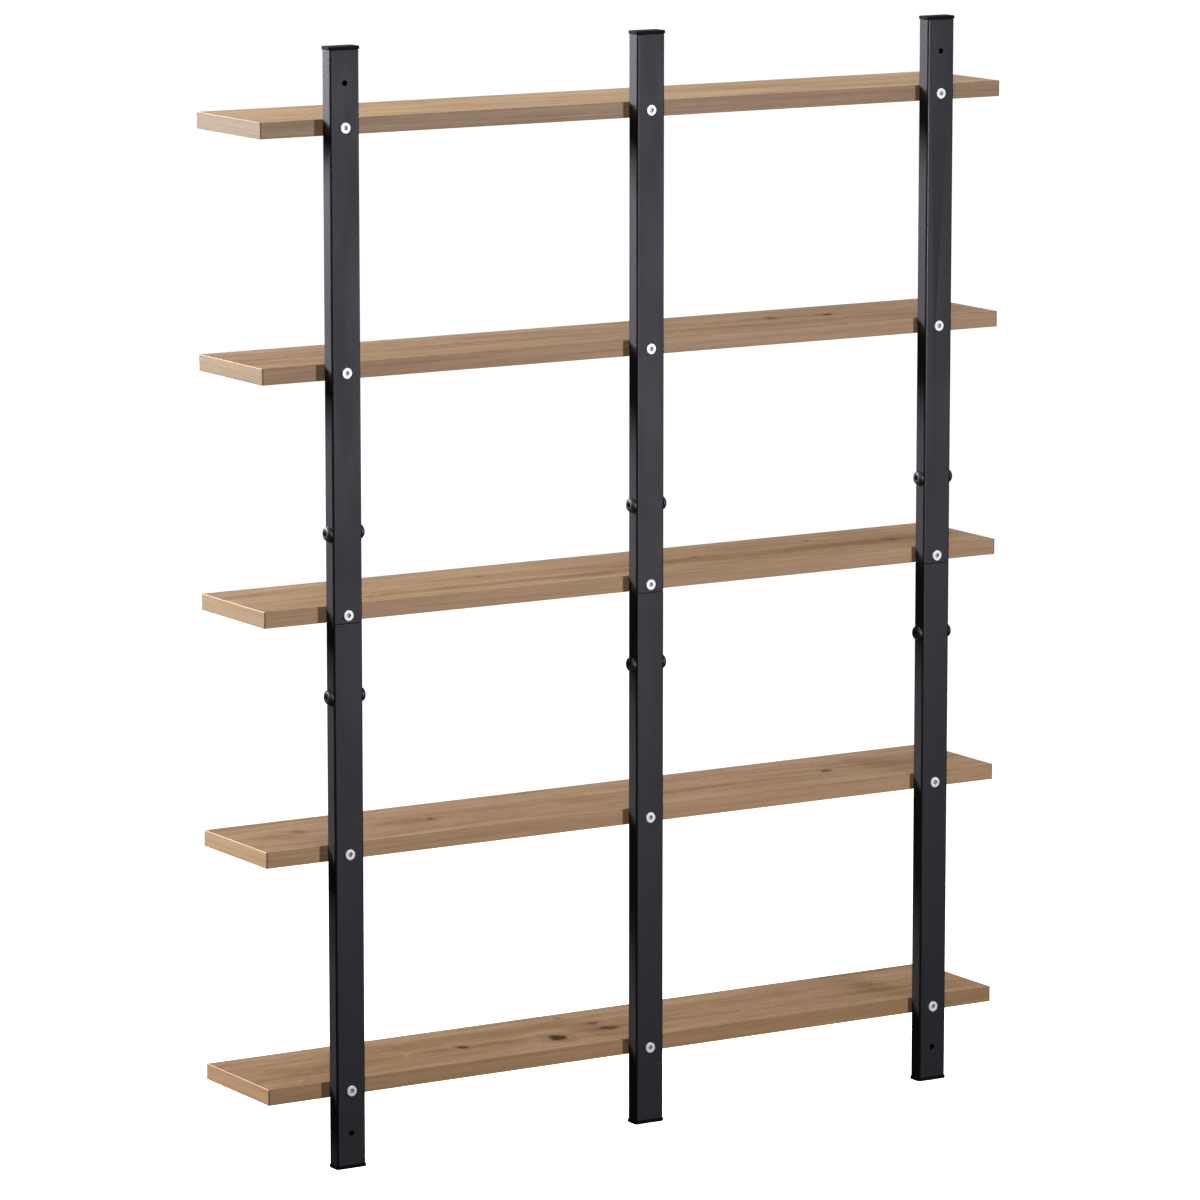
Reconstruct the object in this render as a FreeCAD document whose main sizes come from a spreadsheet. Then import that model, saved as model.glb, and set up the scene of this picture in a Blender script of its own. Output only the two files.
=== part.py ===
"""Wall shelf: five boards carried by three black steel posts that stand against the wall.

Frame: millimetres, +Z up, +X along the shelves, +Y towards the wall. The origin is the centre of
the four wall-fixing holes, on the posts' wall face, level with the third shelf's screws.
Left and right are as seen from the room.
"""
import FreeCAD, Part
import math
import os
import re

import Sketcher

# Driving dimensions in millimetres, each written once.
SIZES = {
    # boards and their edge bands
    "shelf_length": 800,
    "shelf_depth": 120,
    "shelf_thickness": 15,
    "shelf_pitch": 221,
    "band_thickness": 0.8,
    "band_edge_chamfer": 0.4,
    # posts: rectangular tube in two lengths
    "post_spacing": 322,
    "post_width": 30,
    "post_depth": 15,
    "post_wall": 1.2,
    "post_corner_radius": 2,
    "post_seam_drop": 7.5,
    "post_end_margin": 30,
    "wall_hole_rise": 40,
    "wall_hole_diameter": 5,
    # inner connector that joins the two lengths of a post
    "connector_length": 200,
    "connector_wall": 1.5,
    "connector_gap": 0.2,
    # domed furniture bolt and sleeve nut through the sides of the post
    "joint_bolt_rise": 75,
    "joint_head_diameter": 14,
    "joint_head_height": 4.4,
    "joint_crown_diameter": 8,
    "joint_thread_diameter": 6,
    "joint_thread_length": 18,
    "sleeve_diameter": 8,
    "sleeve_bore_depth": 22,
    "sleeve_end_setback": 1,
    # low flat-head screw and threaded insert that hold a board to a post
    "screw_thread_diameter": 6,
    "screw_reach": 15,
    "screw_head_diameter": 10,
    "screw_head_height": 1.5,
    "screw_crown_diameter": 9.2,
    "insert_diameter": 9,
    "insert_length": 13,
    "insert_sink": 0.5,
    "insert_hole_depth": 18,
    # hexagon sockets of both kinds of fastener
    "socket_flats": 4,
    "socket_depth": 2,
    # plastic end caps
    "cap_flange_thickness": 3,
    "cap_overhang": 0.9,
    "cap_plug_depth": 14,
    "cap_plug_wall": 1.5,
    "cap_plug_gap": 0.6,
    "cap_fin_gap": 0.05,
    "cap_fin_thickness": 0.8,
    "cap_fin_pitch": 4,
    # clearances on each side
    "hole_clearance": 0.2,
    "thread_clearance": 0.05,
    "insert_clearance": 0.05,
}

# Posts by name, in steps of post_spacing from the middle one.
POSTS = {"left": -1, "middle": 0, "right": 1}
POSTS_WITH_WALL_HOLES = ("left", "right")
# Shelves by number from the top, in steps of shelf_pitch from the third one.
SHELVES = {1: 2, 2: 1, 3: 0, 4: -1, 5: -2}
LEVELS_ABOVE_MIDDLE = 2
JOINT_BOLTS_PER_POST = 2
CAP_FINS = 3
SOCKET_SIDES = 6
# Threads and the hidden holes around them repeat many times, so they have flats instead of rounds.
THREAD_SIDES = 6
# A sleeve turns its flats to the post's front and back, which leaves the connector most metal.
SLEEVE_CORNER = "Vertical"

# Sizes that follow from the driving ones.
INNER_WIDTH = "post_width - 2 * post_wall"
INNER_DEPTH = "post_depth - 2 * post_wall"
TOP_SCREW = f"{LEVELS_ABOVE_MIDDLE} * shelf_pitch"
WALL_HOLE = f"{TOP_SCREW} + wall_hole_rise"
POST_END = f"{WALL_HOLE} + post_end_margin"
SCREW_HOLE = "screw_thread_diameter + 2 * hole_clearance"
SCREW_NUT_BORE = "screw_thread_diameter + 2 * thread_clearance"
SLEEVE_HOLE = "sleeve_diameter + 2 * hole_clearance"
SLEEVE_BORE = "joint_thread_diameter + 2 * thread_clearance"
INSERT_HOLE = "insert_diameter + 2 * insert_clearance"

UP = FreeCAD.Vector(0, 0, 1)
# A sketch's own origin and axes, and the points of a line or circle, as constraints number them.
H_AXIS, V_AXIS = -1, -2
START, END, CENTRE = 1, 2, 3
SAME_PLACE = 1e-4

doc = FreeCAD.newDocument("wall_shelf")
sheet = doc.addObject("Spreadsheet::Sheet", "Sizes")
for row, (alias, number) in enumerate(SIZES.items(), start=1):
    sheet.set(f"A{row}", alias)
    sheet.set(f"B{row}", str(number))
    sheet.setAlias(f"B{row}", alias)
doc.recompute()

subparts = []


def qualified(formula):
    """A formula with each size name pointed at its cell in the sheet."""
    return re.sub(r"[a-z]+_[a-z_]+", lambda word: f"Sizes.{word.group()}", formula)


def value(formula):
    """The number that a formula gives with the sheet's present values."""
    return float(sheet.evalExpression(qualified(formula)))


def bind(thing, prop, formula):
    """Tie a property, or a named constraint, to a formula of the sheet's sizes."""
    thing.setExpression(prop, qualified(formula))


def new_body(label, x="0", y="0", z="0", turned_over_axis=None):
    """A named sub-part whose place follows the sheet, turned over about an axis if one is given."""
    body = doc.addObject("PartDesign::Body", label)
    body.Label = label
    if turned_over_axis:
        half_turn = FreeCAD.Rotation(FreeCAD.Vector(*turned_over_axis), 180)
        body.Placement = FreeCAD.Placement(FreeCAD.Vector(), half_turn)
    for axis, formula in zip("xyz", (x, y, z)):
        bind(body, f"Placement.Base.{axis}", formula)
    subparts.append(body)
    return body


def new_sketch(body, role, offset="0"):
    """A sketch on one of the body's own origin planes, moved along that plane's normal."""
    plane = next(item for item in body.Origin.OriginFeatures if item.Role == role)
    sketch = body.newObject("Sketcher::SketchObject", f"{body.Label}_sketch")
    sketch.AttachmentSupport = [(plane, "")]
    sketch.MapMode = "FlatFace"
    bind(sketch, "AttachmentOffset.Base.z", offset)
    return sketch


def constrain(sketch, *terms):
    """Add a constraint without a number."""
    sketch.addConstraint(Sketcher.Constraint(*terms))


def dimension(sketch, formula, *terms):
    """Add a named dimension to a sketch and tie it to the sheet."""
    index = sketch.addConstraint(Sketcher.Constraint(*terms, value(formula)))
    name = f"size_{index}"
    sketch.renameConstraint(index, name)
    bind(sketch, f"Constraints.{name}", formula)


def pin(sketch, shape, point, x, y):
    """Fix a point of a shape at x, y from the sketch's origin."""
    for kind, axis, formula in (("DistanceX", V_AXIS, x), ("DistanceY", H_AXIS, y)):
        place = value(formula)
        if place == 0:
            constrain(sketch, "PointOnObject", shape, point, axis)
        elif place > 0:
            dimension(sketch, formula, kind, H_AXIS, START, shape, point)
        else:
            dimension(sketch, f"-({formula})", kind, shape, point, H_AXIS, START)


def circle(sketch, diameter, x="0", y="0"):
    """A circle at x, y."""
    centre = FreeCAD.Vector(value(x), value(y), 0)
    shape = sketch.addGeometry(Part.Circle(centre, UP, value(diameter) / 2))
    dimension(sketch, diameter, "Diameter", shape)
    pin(sketch, shape, CENTRE, x, y)


def polygon(sketch, sides, flats, x="0", y="0", corner="Horizontal"):
    """A regular polygon at x, y by its distance across flats, with its first corner level with its
    centre or, where the corner is Vertical, straight above it."""
    centre = FreeCAD.Vector(value(x), value(y), 0)
    corner_circle = f"({flats}) / cos({180 / sides} deg)"
    reach = value(corner_circle) / 2
    guide = sketch.addGeometry(Part.Circle(centre, UP, reach), True)
    dimension(sketch, corner_circle, "Diameter", guide)
    pin(sketch, guide, CENTRE, x, y)
    corners = []
    for number in range(sides):
        angle = 2 * math.pi * number / sides
        if corner == "Vertical":
            angle += math.pi / 2
        corners.append(centre + FreeCAD.Vector(math.cos(angle), math.sin(angle), 0) * reach)
    edges = []
    for number in range(sides):
        edge = Part.LineSegment(corners[number], corners[(number + 1) % sides])
        edges.append(sketch.addGeometry(edge))
    for number in range(sides):
        constrain(sketch, "Coincident", edges[number], END, edges[(number + 1) % sides], START)
        constrain(sketch, "PointOnObject", edges[number], START, guide)
    for number in range(1, sides):
        constrain(sketch, "Equal", edges[0], edges[number])
    constrain(sketch, corner, guide, CENTRE, edges[0], START)


def outline(sketch, corners):
    """A closed outline of straight lines through corners (x, y)."""
    points = [FreeCAD.Vector(value(x), value(y), 0) for x, y in corners]
    edges = []
    for number, point in enumerate(points):
        edges.append(sketch.addGeometry(Part.LineSegment(points[number - 1], point)))
    for number, (x, y) in enumerate(corners):
        constrain(sketch, "Coincident", edges[number], END, edges[(number + 1) % len(edges)], START)
        pin(sketch, edges[number], END, x, y)


def rectangle(sketch, width, depth):
    """A rectangle centred on the sketch's origin."""
    x, y = f"({width}) / 2", f"({depth}) / 2"
    outline(sketch, [(x, y), (f"-{x}", y), (f"-{x}", f"-{y}"), (x, f"-{y}")])


def rounded_rectangle(sketch, width, depth, radius):
    """A rectangle with round corners, centred on the sketch's origin."""
    turn = value(radius)
    far_x, far_y = value(width) / 2, value(depth) / 2
    near_x, near_y = far_x - turn, far_y - turn
    sides = (
        ("Horizontal", (near_x, far_y), (-near_x, far_y)),
        ("Vertical", (-far_x, near_y), (-far_x, -near_y)),
        ("Horizontal", (-near_x, -far_y), (near_x, -far_y)),
        ("Vertical", (far_x, -near_y), (far_x, near_y)),
    )
    centres = ((-near_x, near_y), (-near_x, -near_y), (near_x, -near_y), (near_x, near_y))
    lines = []
    arcs = []
    for number, (direction, start, end) in enumerate(sides):
        line = Part.LineSegment(FreeCAD.Vector(*start, 0), FreeCAD.Vector(*end, 0))
        lines.append(sketch.addGeometry(line))
        constrain(sketch, direction, lines[number])
        bend = Part.Circle(FreeCAD.Vector(*centres[number], 0), UP, turn)
        angle = math.pi / 2 * (number + 1)
        arcs.append(sketch.addGeometry(Part.ArcOfCircle(bend, angle, angle + math.pi / 2)))
    for number in range(len(sides)):
        constrain(sketch, "Tangent", lines[number], END, arcs[number], START)
        constrain(sketch, "Tangent", arcs[number], END, lines[(number + 1) % len(sides)], START)
    for arc in arcs[1:]:
        constrain(sketch, "Equal", arcs[0], arc)
    constrain(sketch, "Symmetric", arcs[0], CENTRE, arcs[2], CENTRE, H_AXIS, START)
    dimension(sketch, radius, "Radius", arcs[0])
    dimension(sketch, width, "DistanceX", lines[1], START, lines[3], END)
    dimension(sketch, depth, "DistanceY", lines[2], START, lines[0], END)


def pad(body, sketch, length, side="One side", backwards=False):
    """Raise a sketch along its normal, or against it."""
    feature = body.newObject("PartDesign::Pad", f"{body.Label}_pad")
    feature.Profile = sketch
    feature.SideType = side
    feature.Reversed = backwards
    bind(feature, "Length", length)
    doc.recompute()
    return feature


def cut(body, sketch, depth=None, along_normal=False):
    """Cut a sketch to a depth, or right through both ways where no depth is given."""
    before = body.Shape.Volume
    feature = body.newObject("PartDesign::Pocket", f"{body.Label}_cut")
    feature.Profile = sketch
    if depth is None:
        feature.Type = "ThroughAll"
        feature.SideType = "Symmetric"
    else:
        feature.Reversed = along_normal
        bind(feature, "Length", depth)
    doc.recompute()
    if feature.Shape.Volume >= before:
        raise ValueError(f"{body.Label}: a cut removes nothing")
    return feature


def revolve(body, sketch, axis):
    """Turn a half profile about one of its sketch's own axes."""
    feature = body.newObject("PartDesign::Revolution", f"{body.Label}_turned")
    feature.Profile = sketch
    feature.ReferenceAxis = (sketch, [axis])
    doc.recompute()
    return feature


def repeat(body, originals, sketch, axis, length, count):
    """Repeat features in a straight row of the given overall length."""
    row_of_copies = body.newObject("PartDesign::LinearPattern", f"{body.Label}_row")
    row_of_copies.Originals = originals
    row_of_copies.Direction = (sketch, [axis])
    row_of_copies.Occurrences = count
    bind(row_of_copies, "Length", length)
    body.Tip = row_of_copies
    doc.recompute()


def chamfer(body, base, size, chosen):
    """Chamfer the edges of a feature that a test chooses."""
    names = [f"Edge{number}" for number, edge in enumerate(base.Shape.Edges, 1) if chosen(edge)]
    feature = body.newObject("PartDesign::Chamfer", f"{body.Label}_chamfer")
    feature.Base = (base, names)
    bind(feature, "Size", size)
    doc.recompute()


def lies_at(edge, axis, place):
    """Whether an edge lies wholly at one place along an axis."""
    low = getattr(edge.BoundBox, f"{axis}Min")
    high = getattr(edge.BoundBox, f"{axis}Max")
    return max(abs(low - place), abs(high - place)) < SAME_PLACE


def post_place(post):
    """Where a post's own pieces are centred along the shelves."""
    return f"{POSTS[post]} * post_spacing"


def shelf_place(shelf):
    """The height of a shelf's screws, at half its thickness."""
    return f"{SHELVES[shelf]} * shelf_pitch"


def make_post_tube(post, upper):
    """One length of a post; the lower one is drawn upside down from the third shelf's screw."""
    name = f"{'upper' if upper else 'lower'}_post_{post}"
    body = new_body(
        name, post_place(post), "-post_depth / 2", turned_over_axis=None if upper else (0, 1, 0))
    seam = "-post_seam_drop" if upper else "post_seam_drop"
    section = new_sketch(body, "XY_Plane", seam)
    rounded_rectangle(section, "post_width", "post_depth", "post_corner_radius")
    rectangle(section, INNER_WIDTH, INNER_DEPTH)
    pad(body, section, f"{POST_END} - ({seam})")

    holes = new_sketch(body, "XZ_Plane")
    for level in range(0 if upper else 1, LEVELS_ABOVE_MIDDLE + 1):
        polygon(holes, THREAD_SIDES, SCREW_HOLE, y=f"{level} * shelf_pitch")
    if post in POSTS_WITH_WALL_HOLES:
        circle(holes, "wall_hole_diameter", y=WALL_HOLE)
    cut(body, holes)

    sleeve_hole = new_sketch(body, "YZ_Plane")
    polygon(sleeve_hole, THREAD_SIDES, SLEEVE_HOLE, y="joint_bolt_rise", corner=SLEEVE_CORNER)
    cut(body, sleeve_hole)


def make_connector(post):
    """The inner tube across the butt joint, crossed by the third shelf's screw and by both sleeves."""
    body = new_body(f"joint_connector_{post}", post_place(post), "-post_depth / 2")
    width = f"{INNER_WIDTH} - 2 * connector_gap"
    depth = f"{INNER_DEPTH} - 2 * connector_gap"
    section = new_sketch(body, "XY_Plane")
    rectangle(section, width, depth)
    rectangle(section, f"{width} - 2 * connector_wall", f"{depth} - 2 * connector_wall")
    pad(body, section, "connector_length", side="Symmetric")

    screw_hole = new_sketch(body, "XZ_Plane")
    polygon(screw_hole, THREAD_SIDES, SCREW_HOLE)
    cut(body, screw_hole)

    sleeve_holes = new_sketch(body, "YZ_Plane")
    polygon(sleeve_holes, THREAD_SIDES, SLEEVE_HOLE, y="joint_bolt_rise", corner=SLEEVE_CORNER)
    polygon(sleeve_holes, THREAD_SIDES, SLEEVE_HOLE, y="-joint_bolt_rise", corner=SLEEVE_CORNER)
    cut(body, sleeve_holes)


def make_end_cap(post, top):
    """A flange over the tube's end, with a hollow plug and thin fins that grip the tube."""
    name = f"{'top' if top else 'bottom'}_cap_{post}"
    height = POST_END if top else f"-({POST_END})"
    body = new_body(
        name, post_place(post), "-post_depth / 2", height,
        turned_over_axis=None if top else (1, 0, 0))

    flange_sketch = new_sketch(body, "XY_Plane")
    rounded_rectangle(
        flange_sketch, "post_width + 2 * cap_overhang", "post_depth + 2 * cap_overhang",
        "post_corner_radius + cap_overhang")
    pad(body, flange_sketch, "cap_flange_thickness")

    plug_width = f"{INNER_WIDTH} - 2 * cap_plug_gap"
    plug_depth = f"{INNER_DEPTH} - 2 * cap_plug_gap"
    hollow_width = f"{plug_width} - 2 * cap_plug_wall"
    hollow_depth = f"{plug_depth} - 2 * cap_plug_wall"
    plug_sketch = new_sketch(body, "XY_Plane")
    rectangle(plug_sketch, plug_width, plug_depth)
    rectangle(plug_sketch, hollow_width, hollow_depth)
    pad(body, plug_sketch, "cap_plug_depth", backwards=True)

    # The first fin stands at the plug's open end, and the others follow towards the flange.
    fin_sketch = new_sketch(body, "XY_Plane", "-cap_plug_depth")
    rectangle(fin_sketch, f"{INNER_WIDTH} - 2 * cap_fin_gap", f"{INNER_DEPTH} - 2 * cap_fin_gap")
    rectangle(fin_sketch, hollow_width, hollow_depth)
    fin = pad(body, fin_sketch, "cap_fin_thickness")
    repeat(body, [fin], fin_sketch, "N_Axis", f"{CAP_FINS - 1} * cap_fin_pitch", CAP_FINS)


def shelf_body(shelf, piece):
    """A body whose origin is the middle of a shelf's back edge."""
    return new_body(f"shelf_{shelf}_{piece}", "0", "-post_depth", shelf_place(shelf))


def insert_holes(body):
    """A sketch on the shelf's back edge with one hole for each post."""
    sketch = new_sketch(body, "XZ_Plane")
    for post in POSTS:
        polygon(sketch, THREAD_SIDES, INSERT_HOLE, x=post_place(post))
    return sketch


def make_board(shelf):
    """The laminated core of a shelf, with blind holes for its inserts in the back edge."""
    body = shelf_body(shelf, "board")
    end = "shelf_length / 2 - band_thickness"
    front = "-shelf_depth + band_thickness"
    back = "-band_thickness"
    plan = new_sketch(body, "XY_Plane")
    outline(plan, [(end, back), (f"-({end})", back), (f"-({end})", front), (end, front)])
    pad(body, plan, "shelf_thickness", side="Symmetric")
    cut(body, insert_holes(body), "insert_hole_depth", along_normal=True)


def make_long_band(shelf, edge):
    """The strip along the front or back edge; it covers the ends of the two short strips."""
    body = shelf_body(shelf, f"{edge}_band")
    outer, inner = "0", "-band_thickness"
    if edge == "front":
        outer, inner = "-shelf_depth", "-shelf_depth + band_thickness"
    end = "shelf_length / 2"
    plan = new_sketch(body, "XY_Plane")
    outline(plan, [(end, outer), (f"-{end}", outer), (f"-{end}", inner), (end, inner)])
    strip = pad(body, plan, "shelf_thickness", side="Symmetric")
    face = value(outer)
    chamfer(body, strip, "band_edge_chamfer", lambda line: lies_at(line, "Y", face))
    if edge == "back":
        cut(body, insert_holes(body))


def make_short_band(shelf, side):
    """The strip on the left or right end, between the two long strips."""
    body = shelf_body(shelf, f"{side}_band")
    outer = f"{POSTS[side]} * shelf_length / 2"
    inner = f"{POSTS[side]} * (shelf_length / 2 - band_thickness)"
    front = "-shelf_depth + band_thickness"
    back = "-band_thickness"
    plan = new_sketch(body, "XY_Plane")
    outline(plan, [(outer, back), (inner, back), (inner, front), (outer, front)])
    strip = pad(body, plan, "shelf_thickness", side="Symmetric")
    face = value(outer)
    top = value("shelf_thickness / 2")

    def outer_long_edge(line):
        return lies_at(line, "X", face) and (lies_at(line, "Z", top) or lies_at(line, "Z", -top))

    chamfer(body, strip, "band_edge_chamfer", outer_long_edge)


def make_inserts(shelf):
    """Threaded inserts sunk a little below the back edge of one shelf."""
    body = new_body(
        f"shelf_{shelf}_inserts", post_place("left"), "-post_depth - insert_sink",
        shelf_place(shelf))
    section = new_sketch(body, "XZ_Plane")
    polygon(section, THREAD_SIDES, "insert_diameter")
    polygon(section, THREAD_SIDES, SCREW_NUT_BORE)
    barrel = pad(body, section, "insert_length")
    repeat(body, [barrel], section, "H_Axis", f"{len(POSTS) - 1} * post_spacing", len(POSTS))


def make_shelf_screws(post):
    """Flat-head screws through one post, one for each shelf, with the heads on the wall side."""
    body = new_body(f"shelf_screws_{post}", post_place(post), "0", f"-{TOP_SCREW}")
    profile = new_sketch(body, "XY_Plane")
    outline(profile, [
        ("0", "0"),
        ("screw_head_diameter / 2", "0"),
        ("screw_crown_diameter / 2", "screw_head_height"),
        ("0", "screw_head_height"),
    ])
    head = revolve(body, profile, "V_Axis")

    thread_sketch = new_sketch(body, "XZ_Plane")
    polygon(thread_sketch, THREAD_SIDES, "screw_thread_diameter")
    thread = pad(body, thread_sketch, "post_depth + screw_reach")

    socket_sketch = new_sketch(body, "XZ_Plane", "-screw_head_height")
    polygon(socket_sketch, SOCKET_SIDES, "socket_flats")
    socket = cut(body, socket_sketch, "socket_depth", along_normal=True)
    length = f"{len(SHELVES) - 1} * shelf_pitch"
    repeat(body, [head, thread, socket], socket_sketch, "V_Axis", length, len(SHELVES))


def joint_head(body, outward):
    """A domed head on a post's side face, with its socket; outward is 1 or -1 along X."""
    crown = f"{outward} * joint_head_height"
    profile = new_sketch(body, "XY_Plane")
    outline(profile, [
        ("0", "0"),
        ("0", "joint_head_diameter / 2"),
        (crown, "joint_crown_diameter / 2"),
        (crown, "0"),
    ])
    head = revolve(body, profile, "H_Axis")
    socket_sketch = new_sketch(body, "YZ_Plane", crown)
    polygon(socket_sketch, SOCKET_SIDES, "socket_flats")
    socket = cut(body, socket_sketch, "socket_depth", along_normal=outward < 0)
    return [head, socket], socket_sketch


def joint_fastener_body(piece, post, outward):
    """A body at the lower sleeve hole, on the side face of the post that its heads seat on."""
    face = f"{post_place(post)} + {outward} * post_width / 2"
    return new_body(f"{piece}_{post}", face, "-post_depth / 2", "-joint_bolt_rise")


def make_joint_bolts(post):
    """The bolts on the post's right side; their threads end inside the sleeve nuts."""
    body = joint_fastener_body("joint_bolts", post, 1)
    features, socket_sketch = joint_head(body, 1)
    thread_sketch = new_sketch(body, "YZ_Plane")
    polygon(thread_sketch, THREAD_SIDES, "joint_thread_diameter", corner=SLEEVE_CORNER)
    features.append(pad(body, thread_sketch, "joint_thread_length", backwards=True))
    repeat(body, features, socket_sketch, "V_Axis", "2 * joint_bolt_rise", JOINT_BOLTS_PER_POST)


def make_sleeve_nuts(post):
    """The sleeve nuts on the post's left side; their barrels pass through both side walls."""
    body = joint_fastener_body("sleeve_nuts", post, -1)
    features, socket_sketch = joint_head(body, -1)
    barrel_length = "post_width - sleeve_end_setback"
    barrel_sketch = new_sketch(body, "YZ_Plane")
    polygon(barrel_sketch, THREAD_SIDES, "sleeve_diameter", corner=SLEEVE_CORNER)
    features.append(pad(body, barrel_sketch, barrel_length))
    bore_sketch = new_sketch(body, "YZ_Plane", barrel_length)
    polygon(bore_sketch, THREAD_SIDES, SLEEVE_BORE, corner=SLEEVE_CORNER)
    features.append(cut(body, bore_sketch, "sleeve_bore_depth"))
    repeat(body, features, socket_sketch, "V_Axis", "2 * joint_bolt_rise", JOINT_BOLTS_PER_POST)


def check_model():
    """Stop if any object failed, or a sub-part has no sound solid."""
    for item in doc.Objects:
        if "Invalid" in item.State or "Error" in item.State:
            raise ValueError(f"{item.Label}: {item.State}")
    for body in subparts:
        if body.Shape.isNull() or not body.Shape.isValid() or not body.Shape.Solids:
            raise ValueError(f"{body.Label}: no sound solid")


for post_name in POSTS:
    make_post_tube(post_name, upper=True)
    make_post_tube(post_name, upper=False)
    make_connector(post_name)
    make_end_cap(post_name, top=True)
    make_end_cap(post_name, top=False)
    make_shelf_screws(post_name)
    make_joint_bolts(post_name)
    make_sleeve_nuts(post_name)
for shelf_number in SHELVES:
    make_board(shelf_number)
    make_long_band(shelf_number, "front")
    make_long_band(shelf_number, "back")
    make_short_band(shelf_number, "left")
    make_short_band(shelf_number, "right")
    make_inserts(shelf_number)
doc.recompute()
check_model()

os.makedirs("parts", exist_ok=True)
for sub_part in subparts:
    sub_part.Shape.exportStep(f"parts/{sub_part.Label}.step")
print(len(subparts), "sub-parts written")
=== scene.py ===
import math

import bmesh
import bpy
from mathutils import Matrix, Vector


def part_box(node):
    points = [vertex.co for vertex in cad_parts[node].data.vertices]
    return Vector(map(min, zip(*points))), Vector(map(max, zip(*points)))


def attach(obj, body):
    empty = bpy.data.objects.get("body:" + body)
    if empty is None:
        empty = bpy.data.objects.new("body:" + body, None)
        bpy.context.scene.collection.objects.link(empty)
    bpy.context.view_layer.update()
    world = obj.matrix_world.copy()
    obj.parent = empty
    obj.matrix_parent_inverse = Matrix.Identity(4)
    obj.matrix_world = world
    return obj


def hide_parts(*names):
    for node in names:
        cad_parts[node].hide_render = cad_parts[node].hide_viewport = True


# Looks of the wall shelf. Metres; +X along the shelves, +Y towards the wall, +Z up.
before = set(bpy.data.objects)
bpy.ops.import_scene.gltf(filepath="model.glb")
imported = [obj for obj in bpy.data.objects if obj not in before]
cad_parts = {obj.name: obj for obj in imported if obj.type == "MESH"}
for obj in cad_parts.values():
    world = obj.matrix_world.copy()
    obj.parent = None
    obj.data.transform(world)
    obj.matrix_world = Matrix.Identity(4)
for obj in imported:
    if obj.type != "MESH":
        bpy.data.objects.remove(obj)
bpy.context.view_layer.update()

MM = 0.001
POSTS = ("left", "middle", "right")
SHELVES = (1, 2, 3, 4, 5)
TO_WALL = (0, 1, 0)
TO_RIGHT = (1, 0, 0)
TO_LEFT = (-1, 0, 0)
# Points round a circle, steps round a corner, and the angle from which an edge is sharp.
ROUND = 48
CORNER_STEPS = 6
SHARP = math.radians(32)


# Node helpers

def new_material(name):
    """A node material with an empty tree; returns the material and its tree."""
    material = bpy.data.materials.new(name)
    material.use_nodes = True
    tree = material.node_tree
    tree.nodes.clear()
    return material, tree


def node(tree, kind, inputs=None, **settings):
    """A node with its settings, and its inputs linked or set."""
    made = tree.nodes.new(kind)
    for key, value in settings.items():
        setattr(made, key, value)
    for key, value in (inputs or {}).items():
        if isinstance(value, bpy.types.NodeSocket):
            tree.links.new(value, made.inputs[key])
        else:
            made.inputs[key].default_value = value
    return made


def maths(tree, operation, first, second=0.0, third=0.0, clamp=False):
    """A number worked out from up to three others."""
    made = node(tree, "ShaderNodeMath", {0: first, 1: second, 2: third}, operation=operation)
    made.use_clamp = clamp
    return made.outputs[0]


def total(tree, sockets):
    """The sum of several numbers."""
    added = sockets[0]
    for socket in sockets[1:]:
        added = maths(tree, "ADD", added, socket)
    return added


def vector(tree, x, y, z):
    """A vector of three numbers."""
    return node(tree, "ShaderNodeCombineXYZ", {0: x, 1: y, 2: z}).outputs[0]


def scaled(tree, place, sizes):
    """A place multiplied by repeats per metre along X, Y and Z."""
    return node(tree, "ShaderNodeVectorMath", {0: place, 1: sizes}, operation="MULTIPLY").outputs[0]


def coordinates(tree):
    """Place on the object in metres, as three numbers."""
    place = node(tree, "ShaderNodeTexCoord").outputs["Object"]
    return node(tree, "ShaderNodeSeparateXYZ", {0: place}).outputs


def noise(tree, place, detail=3.0, roughness=0.5):
    """Noise from 0 to 1 about a half; the place is already scaled."""
    return node(tree, "ShaderNodeTexNoise", {
        "Vector": place, "Scale": 1.0, "Detail": detail, "Roughness": roughness}).outputs[0]


def swung(tree, value, size, base):
    """A base moved up and down by a noise value."""
    return maths(tree, "MULTIPLY_ADD", maths(tree, "SUBTRACT", value, 0.5), size, base)


def between(tree, value, low, high, start=0.0, end=1.0):
    """A number mapped smoothly from one range to another."""
    return node(tree, "ShaderNodeMapRange", {
        "Value": value, "From Min": low, "From Max": high, "To Min": start, "To Max": end},
        interpolation_type="SMOOTHSTEP").outputs[0]


def blended(tree, share, first, second):
    """Two colours mixed by a share of the second."""
    made = node(tree, "ShaderNodeMix", {0: share, 6: first, 7: second}, data_type="RGBA")
    return made.outputs[2]


def ramp(tree, value, stops):
    """A colour looked up along stops (place, colour)."""
    made = node(tree, "ShaderNodeValToRGB", {0: value})
    elements = made.color_ramp.elements
    while len(elements) < len(stops):
        elements.new(0.5)
    for element, (place, colour) in zip(elements, stops):
        element.position = place
        element.color = (*colour, 1)
    return made.outputs[0]


def bumped(tree, height, strength, distance):
    """A normal raised by a height."""
    return node(tree, "ShaderNodeBump", {
        "Height": height, "Strength": strength, "Distance": distance}).outputs[0]


def finished(tree, **inputs):
    """The surface shader, linked to the material's output."""
    named = {key.replace("_", " "): value for key, value in inputs.items()}
    shader = node(tree, "ShaderNodeBsdfPrincipled", named)
    output = node(tree, "ShaderNodeOutputMaterial")
    tree.links.new(shader.outputs[0], output.inputs[0])


# The part of a noise's range that most of its values fall in.
MID_NOISE = (0.3, 0.7)


# Wood decor

# Keeps the bend of the grain finite in the middle of a knot.
BEND_FLOOR = 0.4


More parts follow.
